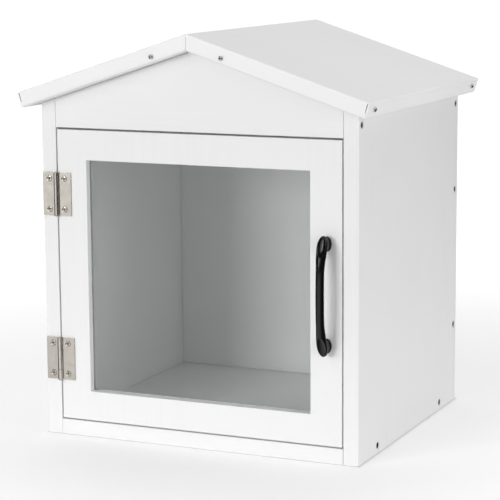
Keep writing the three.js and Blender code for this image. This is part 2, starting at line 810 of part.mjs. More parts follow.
door.attach(piece("door_frame", doorFrame(), "whitePaint"));
door.attach(piece("window_pane", windowPane(), "clearPane"));
for (const place of ["top", "bottom", "left", "right"]) {
  const { strip, place: spot } = glazingBead(place);
  const mesh = piece(`${place}_glazing_bead`, strip, "whitePaint");
  mesh.position.copy(spot);
  door.attach(mesh);
}

const leafGeometry = hingeLeaf();
const pinGeometry = hingePin();
hingeNames.forEach((level, index) => {
  const spot = new THREE.Vector3(hingeX, hingeY, doorBottom + doorHeight * hingeHeightShares[index]);
  const frameLeaf = piece(`${level}_frame_leaf`, leafGeometry, "satinNickel");
  frameLeaf.position.copy(spot);
  bookBox.add(frameLeaf);
  const doorLeaf = piece(`${level}_door_leaf`, leafGeometry, "satinNickel");
  doorLeaf.position.copy(spot);
  doorLeaf.rotation.y = Math.PI;
  door.attach(doorLeaf);
  const pin = piece(`${level}_hinge_pin`, pinGeometry, "satinNickel");
  pin.position.copy(spot);
  bookBox.add(pin);
});

const handle = piece("pull_handle", pullHandle(), "blackGloss");
handle.position.set(handleX, frontY - handleSeat, doorMiddleZ);
door.attach(handle);

bookBox.add(piece("catch_housing", catchHousing(), "whitePlastic"));
bookBox.add(piece("catch_magnet", catchMagnet(), "magnetSteel"));
door.attach(piece("strike_plate", strikePlate(), "magnetSteel"));

for (const { name, screw, frame, door: onDoor } of fasteners) {
  const mesh = piece(name, screwGeometry(screw), "screwSteel");
  mesh.applyMatrix4(frame);
  if (onDoor) {
    door.attach(mesh);
  } else {
    bookBox.add(mesh);
  }
}

export default bookBox;
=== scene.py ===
"""Looks of a small white house-shaped cabinet with one glazed door.

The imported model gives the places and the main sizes, and the values below give the
rest. Lengths are metres, angles are radians, the door faces -Y, +X is to the right
and +Z is up.
"""
import json
import math
from collections import namedtuple

import bmesh
import bpy
import numpy as np
from mathutils import Matrix, Vector

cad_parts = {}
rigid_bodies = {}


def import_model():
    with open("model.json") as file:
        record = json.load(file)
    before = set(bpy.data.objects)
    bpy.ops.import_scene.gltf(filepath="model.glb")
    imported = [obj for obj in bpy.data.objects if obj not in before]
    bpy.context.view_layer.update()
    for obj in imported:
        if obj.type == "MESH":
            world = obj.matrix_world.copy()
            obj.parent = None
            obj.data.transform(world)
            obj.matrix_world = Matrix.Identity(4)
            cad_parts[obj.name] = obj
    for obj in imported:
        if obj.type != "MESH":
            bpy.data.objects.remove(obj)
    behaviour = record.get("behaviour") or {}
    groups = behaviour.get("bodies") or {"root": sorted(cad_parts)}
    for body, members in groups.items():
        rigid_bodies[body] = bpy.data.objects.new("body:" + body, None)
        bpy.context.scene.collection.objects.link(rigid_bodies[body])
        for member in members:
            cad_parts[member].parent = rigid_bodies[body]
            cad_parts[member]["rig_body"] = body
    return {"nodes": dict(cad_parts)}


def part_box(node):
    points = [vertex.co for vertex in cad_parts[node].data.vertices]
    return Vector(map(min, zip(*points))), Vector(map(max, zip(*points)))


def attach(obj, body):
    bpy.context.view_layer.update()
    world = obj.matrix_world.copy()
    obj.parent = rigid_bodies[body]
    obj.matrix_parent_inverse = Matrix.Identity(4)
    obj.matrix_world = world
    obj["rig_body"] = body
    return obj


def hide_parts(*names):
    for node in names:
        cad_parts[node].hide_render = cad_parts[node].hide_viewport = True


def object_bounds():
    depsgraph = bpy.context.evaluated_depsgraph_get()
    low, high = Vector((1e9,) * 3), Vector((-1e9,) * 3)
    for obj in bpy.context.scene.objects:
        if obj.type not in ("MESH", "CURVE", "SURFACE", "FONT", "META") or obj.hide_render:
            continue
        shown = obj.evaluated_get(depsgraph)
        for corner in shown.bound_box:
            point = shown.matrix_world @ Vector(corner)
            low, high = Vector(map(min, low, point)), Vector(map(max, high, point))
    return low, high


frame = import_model()
cad_low, cad_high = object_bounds()

# Sizes of the sheet cover
ROOF_PITCH = math.radians(18)
SHEET = 0.0008
FOLD = 0.0012
FLANGE = 0.015
SLIT_TOP_WIDTH = 0.00075
SLIT_FOOT_WIDTH = 0.0004
SLIT_INSET = 0.0021
SLIT_HEIGHT_SHARE = 0.7
RIDGE_SLIT = 0.00035
RIDGE_CUT_START = 0.0008

# Sizes of the hinges
LEAF_THICKNESS = 0.0012
LEAF_HEIGHT = 0.045
LEAF_WIDTH = 0.0163
LEAF_CORNER = 0.0008
PIN_RADIUS = 0.0011
PIN_GAP = 0.0002
PIN_HEAD = 0.0009
PIN_HEAD_SHARE = 0.8
KNUCKLES = 4
KNUCKLE_GAP = 0.0003
CURL_GAP = 0.00015
BARREL_RADIUS = PIN_RADIUS + PIN_GAP + LEAF_THICKNESS

# Sizes of the bow handle
BOW_PROJECTION = 0.0225
BOW_OVERHANG = 0.0088
BOW_SQUARENESS = 3.2
TIP_REACH = 0.0075
BAR_WIDTH = 0.0086
BAR_THICKNESS = 0.007
BAR_TAPER = 0.026
LOBE_WIDTH = 0.0112
LOBE_LENGTH = 0.0235
LOBE_TIP_ROUND = 0.004
SCOOP_FROM_TIP = 0.011
SCOOP_DEPTH = 0.0026
SCOOP_RADII = (0.0073, 0.006, 0.0152)
FOOT_HEIGHT = 0.015
FOOT_WIDTH = 0.010
FOOT_BASE = 0.0022
FOOT_EDGE = 0.0004
FOOT_STEP = 0.0008

# Screws: head width, shank width, reach below the face that the screw stands in, and
# the height of a raised head
Screw = namedtuple("Screw", "head shank reach dome")
BOARD_SCREW = Screw(head=0.0074, shank=0.004, reach=0.034, dome=0)
COVER_SCREW = Screw(head=0.005, shank=0.0026, reach=0.014, dome=0.0018)
HINGE_SCREW = Screw(head=0.006, shank=0.003, reach=0.0115, dome=0)
CATCH_SCREW = Screw(head=0.0056, shank=0.0028, reach=0.024, dome=0)
STRIKE_SCREW = Screw(head=0.005, shank=0.0026, reach=0.011, dome=0)
HANDLE_SCREW = Screw(head=0.0076, shank=0.0038, reach=0.0263, dome=0)
SCREW_GAP = 0.0003
POINT_SHARE = 0.8

# Shape of a screw's head and of its cross, as shares of the head's width. The last two
# are shares of the cross's depth: what is lost from its middle to its ends, and the
# depth beyond which a point is no longer the cross's.
HEAD_SUNK_SHARE = 0.03
HEAD_FALL_SHARE = 0.05
CROSS_REACH_SHARE = 0.3
CROSS_ARM_SHARE = 0.085
CROSS_DEPTH_SHARE = 0.24
CROSS_WALL_SHARE = 0.035
CROSS_RISE = 0.45
CROSS_DEEPEST = 1.1

# Fineness of the grids, and where their points lie as shares of a length
ARC_STEPS = 8
BOW_STEPS = 200
BOW_SIDES = 64
SCOOP_SIDES = 96
SCREW_SIDES = 72
CROSS_RINGS = 20
CROSS_RINGS_REACH = 1.12
EDGE_RINGS = np.array([0.76, 0.85, 0.92, 0.97, 0.99, 1])
CURL_STATIONS = 40
LEAF_STATIONS = 6
LEAF_CORNER_STATIONS = np.array([0, 0.1, 0.3, 0.6, 1])
DEPTH_STATIONS = 11
SLOPE_STATIONS = np.concatenate([[0, 0.01], np.linspace(0.05, 0.95, 10), [0.99, 1]])
FLANGE_STATIONS = np.linspace(0.2, 1, 5)

# The distance under which points are one, how far a cutter stands out of a face, and
# the least angle of a crease, in degrees
WELD = 1e-6
CUT_THROUGH = 0.002
CREASE = 35
SCREW_CREASE = 30

# Camera, as the photograph was taken
CAMERA_PLACE = Vector((0.8181, -1.8379, 0.5160))
CAMERA_YAW = math.radians(24.23)
CAMERA_DOWN = math.radians(9.41)
CAMERA_ROLL = math.radians(-0.41)
CAMERA_LENS = 135.9
SENSOR = 36


# Meshes

def grid_quads(rows, columns, wrap=False):
    """Corners of the quads of a grid stored row by row: the quad at row i and column j
    joins (i, j), (i, j + 1), (i + 1, j + 1) and (i + 1, j). With wrap, the last column
    is joined to the first."""
    row, column = np.mgrid[0:rows - 1, 0:columns - (0 if wrap else 1)]
    beside = (column + 1) % columns
    corners = [row * columns + column, row * columns + beside,
               (row + 1) * columns + beside, (row + 1) * columns + column]
    return np.stack(corners, axis=-1).reshape(-1, 4)


def grid_patch(x, y, z, wrap=False):
    """A patch, as points and quads, from three arrays that hold a grid's coordinates."""
    points = np.stack([x, y, z], axis=-1).reshape(-1, 3)
    return points, grid_quads(*x.shape, wrap=wrap)


def full_turn(sides):
    """Angles round a circle: side i is at i * 2 pi / sides."""
    return np.arange(sides) * 2 * np.pi / sides


def lathe(profile, sides):
    """A round surface: the profile point (r, h) at turn a lies at (r cos a, r sin a, h).
    A profile that starts and ends on the axis closes the shape."""
    radius, height = np.asarray(profile, float).T
    turn = full_turn(sides)
    x = np.outer(radius, np.cos(turn))
    y = np.outer(radius, np.sin(turn))
    z = np.repeat(height[:, None], sides, axis=1)
    return grid_patch(x, y, z, wrap=True)


def placed(patch, place, direction):
    """A patch drawn along +Z, moved to a place and turned to point in a direction."""
    points, quads = patch
    turn = Vector((0, 0, 1)).rotation_difference(Vector(direction)).to_matrix()
    return points @ np.array(turn).T + np.array(place), quads


def welded_mesh(name, patches, outward=True):
    """One mesh of several (points, quads) patches, with the points that coincide made
    one. With outward, a closed shape's faces are turned to point out."""
    starts = np.cumsum([0] + [len(points) for points, _ in patches])
    points = np.concatenate([points for points, _ in patches])
    quads = np.concatenate([quads + start for (_, quads), start in zip(patches, starts)])
    mesh = bpy.data.meshes.new(name)
    mesh.from_pydata(points.tolist(), [], quads.tolist())
    work = bmesh.new()
    work.from_mesh(mesh)
    bmesh.ops.remove_doubles(work, verts=work.verts, dist=WELD)
    if outward:
        bmesh.ops.recalc_face_normals(work, faces=work.faces)
    work.to_mesh(mesh)
    work.free()
    return mesh


def vectors(items, field):
    """A vector that each vertex or face of a mesh has, as the rows of an array."""
    values = np.zeros(len(items) * 3, np.float32)
    items.foreach_get(field, values)
    return values.reshape(-1, 3)


def mark(mesh, name, domain, values):
    """Gives each point or face of a mesh a value that its finish reads."""
    attribute = mesh.attributes.new(name, "FLOAT", domain)
    attribute.data.foreach_set("value", values.astype(np.float32))


def new_object(name, data):
    """An object at the origin, in the scene."""
    made = bpy.data.objects.new(name, data)
    bpy.context.scene.collection.objects.link(made)
    return made


def settle(made):
    """Makes what the modifiers show the object's own mesh."""
    bpy.context.view_layer.update()
    shown = made.evaluated_get(bpy.context.evaluated_depsgraph_get())
    mesh = bpy.data.meshes.new_from_object(shown)
    made.modifiers.clear()
    made.data = mesh


def thicken(made, thickness):
    """Gives a skin its sheet thickness on the inner side."""
    wall = made.modifiers.new("wall", "SOLIDIFY")
    wall.thickness = thickness
    wall.offset = -1
    wall.use_even_offset = True
    wall.use_quality_normals = True
    settle(made)


def combine(made, others, operation):
    """Joins closed meshes to the object, or takes them out of it."""
    tool = new_object("other", welded_mesh("other", others))
    step = made.modifiers.new("step", "BOOLEAN")
    step.operation = operation
    step.solver = "EXACT"
    step.object = tool
    settle(made)
    bpy.data.objects.remove(tool)


def smooth(made, crease=CREASE):
    """Smooth shading with creases, in which the large faces keep their flatness."""
    made.data.shade_smooth()
    made.data.set_sharp_from_angle(angle=math.radians(crease))
    even = made.modifiers.new("even shading", "WEIGHTED_NORMAL")
    even.keep_sharp = True


def dress(made, finish, body, slot, *nodes):
    """Gives an object its finish and its body, and hides the nodes that it replaces. The slot is
    not used.
    """
    made.data.materials.clear()
    made.data.materials.append(finish)
    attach(made, body)
    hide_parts(*nodes)
    return made


# Finishes: the range in which most noise lies, the samples that round an edge, the
# sockets of a colour mix, and how far the roughness of a ground face varies
NOISE_LOW, NOISE_HIGH = 0.3, 0.7
EDGE_SAMPLES = 6
MIX_FIRST, MIX_SECOND, MIX_RESULT = 6, 7, 2
GROUND_ROUGHNESS_RANGE = 0.15

# Depths of their relief
STREAK_DEPTH = 0.000015
STIPPLE_DEPTH = 0.00001
WAVE_DEPTH = 0.0002
PEEL_DEPTH = 0.0000015
BRUSHING_DEPTH = 0.00001
RIPPLE_DEPTH = 0.00003
TURNING_DEPTH = 0.000005
GRAIN_DEPTH = 0.00003
LINE_DEPTH = 0.00001

# Near-black painted on the slit walls, which is painted shade in the slits over their
# uncoated cut edges; share of the light left at a cross's foot, which is painted shade in
# the screw recess; and the clear pane: its reflection head on, the power by which that
# rises with the slant, its tint and gloss
SLIT_SHADE_AND_CUT_EDGE = (0.09, 0.09, 0.09, 1)
RECESS_SHADE = 0.2
HEAD_ON_SHINE = 0.04
SLANT_POWER = 5.0
PANE_TINT = (0.972, 0.98, 0.978, 1)
PANE_GLOSS = (0.9, 0.9, 0.9, 1)


def new_finish(name):
    """A new material, with its node tree and its shader."""
    finish = bpy.data.materials.new(name)
    finish.use_nodes = True
    return finish, finish.node_tree, finish.node_tree.nodes["Principled BSDF"]


def add(tree, kind, inputs=None, **settings):
    """A node with its settings and its inputs, which are values or other sockets."""
    node = tree.nodes.new(kind)
    for name, value in settings.items():
        setattr(node, name, value)
    for name, value in (inputs or {}).items():
        if isinstance(value, bpy.types.NodeSocket):
            tree.links.new(value, node.inputs[name])
        else:
            node.inputs[name].default_value = value
    return node


def noise(tree, scale, stretch=(1, 1, 1), detail=2):
    """Noise in the piece's own space, drawn out by stretch: a small share of one
    direction's scale makes streaks that run along that direction."""
    where = add(tree, "ShaderNodeTexCoord").outputs["Object"]
    drawn = add(tree, "ShaderNodeMapping", {"Vector": where, "Scale": stretch})
    facts = {"Vector": drawn.outputs["Vector"], "Scale": scale, "Detail": detail}
    return add(tree, "ShaderNodeTexNoise", facts).outputs["Fac"]


def between(tree, value, low, high, from_low=NOISE_LOW, from_high=NOISE_HIGH):
    """The value carried from one range to another, by the same share of each."""
    facts = {"Value": value, "From Min": from_low, "From Max": from_high,
             "To Min": low, "To Max": high}
    return add(tree, "ShaderNodeMapRange", facts).outputs["Result"]


def by_share(tree, share, at_none, at_all):
    """From one value, where the share is zero, to another, where it is one."""
    return between(tree, share, at_none, at_all, from_low=0, from_high=1)


def tones(tree, value, dark, light, low=NOISE_LOW, high=NOISE_HIGH):
    """A colour between two tones, by a value."""
    ramp = add(tree, "ShaderNodeValToRGB", {"Fac": value})
    stops = ramp.color_ramp.elements
    stops[0].position, stops[0].color = low, (*dark, 1)
    stops[1].position, stops[1].color = high, (*light, 1)
    return ramp.outputs["Color"]


def relief(tree, layers, edge):
    """Bump layers of (height, depth in metres) over a normal that rounds off each edge
    by the given radius."""
    normal = add(tree, "ShaderNodeBevel", {"Radius": edge}, samples=EDGE_SAMPLES).outputs["Normal"]
    for height, depth in layers:
        facts = {"Strength": 1.0, "Distance": depth, "Height": height, "Normal": normal}
        normal = add(tree, "ShaderNodeBump", facts).outputs["Normal"]
    return normal


def surface(tree, shader, colour, roughness, normal):
    """Links what was worked out to the shader."""
    tree.links.new(colour, shader.inputs["Base Color"])
    tree.links.new(roughness, shader.inputs["Roughness"])
    tree.links.new(normal, shader.inputs["Normal"])


def painted_board(name, grain):
    """White paint over a board. The grain shows as faint streaks along one direction,
    with the fine stipple of a roller over it. The tone follows the streaks plus a slow
    cloud."""
    finish, tree, shader = new_finish(name)
    streaks = noise(tree, scale=260, stretch=grain, detail=4)
    stipple = noise(tree, scale=1100)
    cloud = noise(tree, scale=9)
    both = add(tree, "ShaderNodeMath", {0: streaks, 1: cloud}, operation="ADD").outputs[0]
    colour = tones(tree, both, dark=(0.862, 0.862, 0.86), light=(0.878, 0.878, 0.877),
                   low=0.7, high=1)
    roughness = between(tree, stipple, low=0.5, high=0.6)
    layers = [(streaks, STREAK_DEPTH), (stipple, STIPPLE_DEPTH)]
    surface(tree, shader, colour, roughness, relief(tree, layers, edge=0.0007))
    shader.inputs["IOR"].default_value = 1.46
    return finish


def coated_sheet():
    """Powder-coated sheet: a fine orange-peel skin over long, shallow waves. The mesh
    marks the walls of the corner slits, which are painted near black: painted shade in the slits,
    over their uncoated cut edges."""
    finish, tree, shader = new_finish("white_powder_coat")
    peel = noise(tree, scale=900)
    waves = noise(tree, scale=22, stretch=(1, 0.35, 1), detail=1)
    cloud = noise(tree, scale=7, detail=3)
    coat = tones(tree, cloud, dark=(0.905, 0.905, 0.905), light=(0.93, 0.93, 0.932))
    # The slit walls take the near-black tone: painted shade in the slits, over their uncoated cut
    # edges.
    slit_wall_mask = add(tree, "ShaderNodeAttribute", attribute_name="slit_shade_and_cut_edge").outputs["Fac"]
    facts = {0: slit_wall_mask, MIX_FIRST: coat, MIX_SECOND: SLIT_SHADE_AND_CUT_EDGE}
    colour = add(tree, "ShaderNodeMix", facts, data_type="RGBA").outputs[MIX_RESULT]
    roughness = between(tree, peel, low=0.28, high=0.31)
    layers = [(waves, WAVE_DEPTH), (peel, PEEL_DEPTH)]
    surface(tree, shader, colour, roughness, relief(tree, layers, edge=0.0004))
    return finish


def clear_pane():
    """Clear plastic sheet: what is behind shows through, and each face, from inside as
    from outside, reflects s + (1 - s) * (1 - cos a) ** 5 of the light at an angle a,
    with s for HEAD_ON_SHINE. Faint wiping marks show in the gloss."""
    finish, tree, shader = new_finish("clear_acrylic")
    tree.nodes.remove(shader)
    smear = noise(tree, scale=30, stretch=(1, 1, 0.3), detail=4)

    # With a blend of a half, this is 1 - cos a
    slant = add(tree, "ShaderNodeLayerWeight", {"Blend": 0.5}).outputs["Facing"]
    steep = add(tree, "ShaderNodeMath", {0: slant, 1: SLANT_POWER}, operation="POWER").outputs[0]
    mirrored = by_share(tree, steep, HEAD_ON_SHINE, 1)
    through = add(tree, "ShaderNodeBsdfTransparent", {"Color": PANE_TINT}).outputs[0]
    roughness = between(tree, smear, low=0.03, high=0.12)
    facts = {"Color": PANE_GLOSS, "Roughness": roughness}
    gloss = add(tree, "ShaderNodeBsdfAnisotropic", facts).outputs[0]
    skin = add(tree, "ShaderNodeMixShader", {0: mirrored, 1: through, 2: gloss}).outputs[0]
    tree.links.new(skin, tree.nodes["Material Output"].inputs["Surface"])
    return finish


def satin_nickel():
    """Nickel plate, brushed up and down, with a soft change of tone across it."""
    finish, tree, shader = new_finish("satin_nickel_plate")
    brushing = noise(tree, scale=3200, stretch=(1, 1, 0.02))
    cloud = noise(tree, scale=90)
    colour = tones(tree, cloud, dark=(0.6, 0.56, 0.51), light=(0.67, 0.63, 0.575))
    roughness = between(tree, brushing, low=0.18, high=0.26)
    normal = relief(tree, [(brushing, BRUSHING_DEPTH)], edge=0.0002)
    surface(tree, shader, colour, roughness, normal)
    shader.inputs["Metallic"].default_value = 1.0
    return finish


def black_enamel():
    """Thick gloss black, with the soft ripple of a dipped coat and a few faint marks."""
    finish, tree, shader = new_finish("black_gloss_enamel")
    ripple = noise(tree, scale=260, detail=1)
    marks = noise(tree, scale=700, stretch=(1, 1, 0.2), detail=3)
    colour = tones(tree, marks, dark=(0.002, 0.002, 0.0022), light=(0.004, 0.004, 0.0043))
    roughness = between(tree, marks, low=0.1, high=0.17)
    normal = relief(tree, [(ripple, RIPPLE_DEPTH)], edge=0.0005)
    surface(tree, shader, colour, roughness, normal)
    shader.inputs["IOR"].default_value = 1.42
    return finish


def screw_steel(name, dark, light):
    """Plated steel whose colour is darkened down in the cross recess, which the mesh marks:
    painted shade, down to RECESS_SHADE of the plate's tone at the cross's foot.
    """
    finish, tree, shader = new_finish(name)
    turning = noise(tree, scale=1500, detail=3)
    plate = tones(tree, turning, dark, light)
    # Painted shade in the cross recess: the plate's tone is scaled down by the depth that the mesh
    # marks.
    depth = add(tree, "ShaderNodeAttribute", attribute_name="recess").outputs["Fac"]
    facts = {0: plate, "Scale": by_share(tree, depth, 1, RECESS_SHADE)}
    colour = add(tree, "ShaderNodeVectorMath", facts, operation="SCALE").outputs[0]
    roughness = between(tree, turning, low=0.14, high=0.24)
    normal = relief(tree, [(turning, TURNING_DEPTH)], edge=0.00015)
    surface(tree, shader, colour, roughness, normal)
    shader.inputs["Metallic"].default_value = 1.0
    return finish


def moulded_plastic():
    """White moulded plastic with a fine spark-eroded grain."""
    finish, tree, shader = new_finish("white_moulded_plastic")
    grain = noise(tree, scale=2200, detail=3)
    cloud = noise(tree, scale=60)
    colour = tones(tree, cloud, dark=(0.78, 0.78, 0.765), light=(0.82, 0.82, 0.808))
    roughness = between(tree, grain, low=0.42, high=0.58)
    normal = relief(tree, [(grain, GRAIN_DEPTH)], edge=0.0004)
    surface(tree, shader, colour, roughness, normal)
    return finish


def ground_face(name, dark, light, gloss):
    """A ground metallic face with fine lines across it, whose roughness goes up from
    gloss."""
    finish, tree, shader = new_finish(name)
    lines = noise(tree, scale=2600, stretch=(0.03, 1, 1))
    cloud = noise(tree, scale=160, detail=3)
    colour = tones(tree, cloud, dark, light)
    roughness = between(tree, lines, low=gloss, high=gloss + GROUND_ROUGHNESS_RANGE)
    normal = relief(tree, [(lines, LINE_DEPTH)], edge=0.0002)
    surface(tree, shader, colour, roughness, normal)
    shader.inputs["Metallic"].default_value = 1.0
    return finish


ALONG_X = (0.04, 1, 1)
ALONG_Y = (1, 0.04, 1)
ALONG_Z = (1, 1, 0.04)
flat_paint = painted_board("white_paint_grain_across", ALONG_X)
upright_paint = painted_board("white_paint_grain_upright", ALONG_Z)
roof_paint = painted_board("white_paint_grain_lengthwise", ALONG_Y)
cover_coat = coated_sheet()
pane_clear = clear_pane()
nickel = satin_nickel()
enamel = black_enamel()
zinc = screw_steel("zinc_plated_steel", dark=(0.5, 0.49, 0.48), light=(0.64, 0.63, 0.62))
# The board screws' plate is painted dark grey: painted shade of the sunk holes that they sit in.
painted_shade_screw_steel = screw_steel("dark_phosphate_steel", dark=(0.16, 0.158, 0.155),
                         light=(0.26, 0.255, 0.25))
nickel_screw = screw_steel("nickel_plated_steel", dark=(0.66, 0.62, 0.57),
                           light=(0.78, 0.74, 0.69))
plastic = moulded_plastic()
ferrite = ground_face("ferrite_magnet", dark=(0.16, 0.16, 0.165), light=(0.25, 0.25, 0.26),
                      gloss=0.42)
strike_steel = ground_face("plated_strike_steel", dark=(0.5, 0.5, 0.49),
                           light=(0.62, 0.62, 0.61), gloss=0.28)

# These pieces keep the shape that the model gives them and get their finish
kept_finishes = {
    "left_side_panel": upright_paint,
    "right_side_panel": upright_paint,
    "back_panel": upright_paint,
    "bottom_panel": flat_paint,
    "front_gable_panel": flat_paint,
    "left_roof_board": roof_paint,
    "right_roof_board": roof_paint,
    "door_frame": upright_paint,
    "window_pane": pane_clear,
    "top_glazing_bead": flat_paint,
    "bottom_glazing_bead": flat_paint,
    "left_glazing_bead": upright_paint,
    "right_glazing_bead": upright_paint,
    "catch_housing": plastic,
    "catch_magnet": ferrite,
    "strike_plate": strike_steel,
}
for name, finish in kept_finishes.items():
    kept = frame["nodes"][name]
    kept.data.materials.clear()
    kept.data.materials.append(finish)


# Screws

def head_height(screw, from_middle):
    """Height of a head's face over the face that the screw stands in, at a distance r
    from its middle: SCREW_GAP + dome * cbrt(1 - (2 r / head) ** 3) for a raised head,
    and for a sunk one a fall with the square of r."""
    share = np.minimum(1, from_middle / (screw.head / 2))
    if screw.dome:
        return SCREW_GAP + screw.dome * np.cbrt(1 - share ** 3)
    return -screw.head * (HEAD_SUNK_SHARE + HEAD_FALL_SHARE * share ** 2)


def screw_patch(screw):
    """A screw in two parts that meet at the head's edge. The head's face is a polar grid
    with the cross sunk into it: the distance into two crossing bars, divided by the
    width of their walls, clipped to one and deeper towards the middle. The rest is a
    lathe profile of rim, cone or seat, shank and point."""
    head, shank, reach, dome = screw
    edge = head / 2 if dome else head * (0.5 - HEAD_SUNK_SHARE - HEAD_FALL_SHARE)
    cross = head * CROSS_REACH_SHARE
    arm = head * CROSS_ARM_SHARE
    wall = head * CROSS_WALL_SHARE
    cross_rings = np.linspace(0, cross * CROSS_RINGS_REACH, CROSS_RINGS)
    rings = np.concatenate([cross_rings, edge * EDGE_RINGS])
    turn = full_turn(SCREW_SIDES)
    x = np.outer(rings, np.cos(turn))
    y = np.outer(rings, np.sin(turn))
    along = np.maximum(np.abs(x), np.abs(y))
    beside = np.minimum(np.abs(x), np.abs(y))
    hollow = np.clip(np.minimum(cross - along, arm - beside) / wall, 0, 1)
    from_middle = np.hypot(x, y)
    deeper = 1 - CROSS_RISE * np.minimum(1, from_middle / cross)
    z = head_height(screw, from_middle) - head * CROSS_DEPTH_SHARE * hollow * deeper
    rim = head_height(screw, edge)
    neck = (shank / 2, rim if dome else (shank - head) / 2)
    body = [(edge, rim), neck, (shank / 2, -reach * POINT_SHARE), (0, -reach)]
    return [grid_patch(x, y, z, wrap=True), lathe(body, SCREW_SIDES)]


def screw_place(node, screw, direction):
    """Where a screw's axis meets the face that it stands in: its reach above its tip."""
    points = vectors(frame["nodes"][node].data.vertices, "co").astype(float)
    tip = points[np.argmin(points @ np.array(direction))]
    return tip + np.array(direction) * screw.reach


def make_screw(node, screw, direction, finish):
    """The screw, with how far down each point of its cross lies as a mesh attribute: a
    share of the cross's depth. Points further down are the shank's."""
    place = screw_place(node, screw, direction)
    parts = [placed(part, place, direction) for part in screw_patch(screw)]
    mesh = welded_mesh(node + "_turned", parts)
    from_place = vectors(mesh.vertices, "co") - place
    up = from_place @ np.array(direction)
    beside = np.linalg.norm(from_place - up[:, None] * np.array(direction), axis=1)
    depth = (head_height(screw, beside) - up) / (screw.head * CROSS_DEPTH_SHARE)
    in_cross = (beside < screw.head * CROSS_REACH_SHARE) & (depth < CROSS_DEEPEST)
    # The finish darkens the cross by this depth: painted shade in the recess.
    mark(mesh, "recess", "POINT", np.where(in_cross, depth, 0))
    made = new_object(node + "_turned", mesh)
    smooth(made, SCREW_CREASE)
    body = frame["nodes"][node]["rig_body"]
    return dress(made, finish, body, "screw_steel", node)


def screw_kind(node):
    """The size, the direction and the finish of a screw, by its name."""
    hand = -1 if node.startswith("left") else 1
    if "eave_screw" in node:
        return COVER_SCREW, (hand * math.cos(ROOF_PITCH), 0, -math.sin(ROOF_PITCH)), zinc
    if "front_cover_screw" in node:
        return COVER_SCREW, (0, -1, 0), zinc
    if "rear_cover_screw" in node:
        return COVER_SCREW, (0, 1, 0), zinc
    if "leaf" in node:
        return HINGE_SCREW, (0, -1, 0), nickel_screw
    if "handle" in node:
        return HANDLE_SCREW, (0, 1, 0), zinc
    if "catch" in node:
        return CATCH_SCREW, (-1, 0, 0), zinc
    if "strike" in node:
        return STRIKE_SCREW, (0, 1, 0), zinc
    # Board screws take the dark grey plate, which is painted shade.
    return BOARD_SCREW, (hand, 0, 0), painted_shade_screw_steel


screws = {node: screw_kind(node) for node in sorted(frame["nodes"]) if "_screw" in node}
for node, (screw, direction, finish) in screws.items():
    make_screw(node, screw, direction, finish)


def screw_hole(node):
    """A screw's own profile, grown by the gap round it, with a countersink that opens
    at the face. A raised head stands clear, so its hole is straight."""
    screw, direction, _ = screws[node]
    head, shank, reach, dome = screw
    neck = shank / 2 + SCREW_GAP
    edge = neck if dome else head / 2 + SCREW_GAP
    hole = lathe([
        (0, -reach - SCREW_GAP),
        (neck, -reach * POINT_SHARE - SCREW_GAP),
        (neck, neck - edge - WELD),
        (edge, 0),
        (edge, CUT_THROUGH),
        (0, CUT_THROUGH),
    ], SCREW_SIDES)
    return placed(hole, screw_place(node, screw, direction), direction)


# Folded roof cover

def slope_place(along, drop):
    """A place on the right slope, by the distance down the slope from the ridge and the
    distance square below the cover's outside, as x and z."""
    x = along * math.cos(ROOF_PITCH) - drop * math.sin(ROOF_PITCH)
    z = cad_high.z - along * math.sin(ROOF_PITCH) - drop * math.cos(ROOF_PITCH)
    return x, z


def slope_length():
    """From the ridge to the eave, worked out from the cover's widest point, which lies
    on the fold along the eave."""
    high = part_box("roof_cover")[1]
    return (high.x + FOLD * math.sin(ROOF_PITCH)) / math.cos(ROOF_PITCH)


